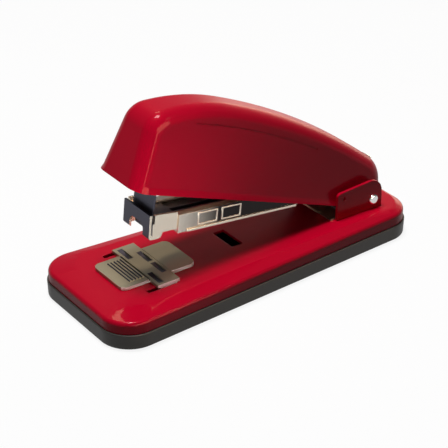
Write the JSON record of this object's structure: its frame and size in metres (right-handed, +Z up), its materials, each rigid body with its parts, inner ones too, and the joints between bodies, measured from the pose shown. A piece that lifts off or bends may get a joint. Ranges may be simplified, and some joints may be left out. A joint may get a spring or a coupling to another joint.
{
  "type": "desk stapler",
  "caption": "Red all-metal desk stapler: a sprung handle and magazine turn on a rear pin above a base with a sliding two-way anvil and a rear release latch.",
  "frame": {"origin": "middle of the base's outline on the plane that the feet stand on", "axes": "+X from the nose to the hinge, +Z up, +Y across to the left when looking from the hinge to the nose"},
  "size_m": [0.14, 0.0574, 0.0747],
  "materials": {
    "red_paint": "gloss red stove enamel",
    "sole_black": "matt black moulding",
    "foot_rubber": "soft matt rubber",
    "nickel_steel": "bright nickel plate on sheet steel",
    "plain_steel": "plain ground steel",
    "spring_steel": "grey spring steel",
    "anvil_steel": "satin grey plated steel",
    "pin_chrome": "polished chrome"
  },
  "bodies": {
    "base": {"rubber_feet": "foot_rubber", "sole_tray": "sole_black", "base_plate": "red_paint", "hinge_bracket": "red_paint", "hinge_pin": "pin_chrome", "pin_washers": "plain_steel", "bracket_rivets": "plain_steel", "lift_spring": "spring_steel"},
    "anvil": {"anvil_plate": "anvil_steel", "anvil_keeper": "spring_steel"},
    "magazine": {"magazine_channel": "nickel_steel", "nose_head": "nickel_steel", "staple_rail": "nickel_steel", "guide_rod": "plain_steel", "rear_block": "plain_steel", "spring_seat": "nickel_steel", "pusher_spring": "spring_steel", "latch_spring": "spring_steel", "handle_spring": "spring_steel"},
    "pusher": {"pusher": "plain_steel"},
    "latch": {"release_latch": "nickel_steel"},
    "handle": {"handle_cover": "red_paint", "driver_lever": "nickel_steel", "driver_blade": "plain_steel", "blade_rivets": "plain_steel"}
  },
  "joints": [
    {"name": "magazine_pivot", "type": "hinge", "parent": "base", "child": "magazine", "pos_m": [0.054, 0, 0.0162], "axis": [0, -1, 0], "range_deg": [0, 8], "stiffness_Nm_per_rad": 1, "springref_deg": -14.32, "deforming": ["lift_spring"]},
    {"name": "handle_pivot", "type": "hinge", "parent": "magazine", "child": "handle", "pos_m": [0.054, 0, 0.0162], "axis": [0, -1, 0], "range_deg": [0, 4.3], "stiffness_Nm_per_rad": 1, "springref_deg": -8.59, "deforming": ["handle_spring"]},
    {"name": "anvil_slide", "type": "slide", "parent": "base", "child": "anvil", "axis": [-1, 0, 0], "range_m": [0, 0.0048]},
    {"name": "pusher_slide", "type": "slide", "parent": "magazine", "child": "pusher", "axis": [0.9949, 0, -0.1011], "range_m": [0, 0.062], "stiffness_N_per_m": 20, "springref_m": -0.1, "deforming": ["pusher_spring"]},
    {"name": "latch_slide", "type": "slide", "parent": "magazine", "child": "latch", "axis": [-0.9949, 0, 0.1011], "range_m": [0, 0.002], "stiffness_N_per_m": 300, "springref_m": -0.002, "deforming": ["latch_spring"]}
  ]
}
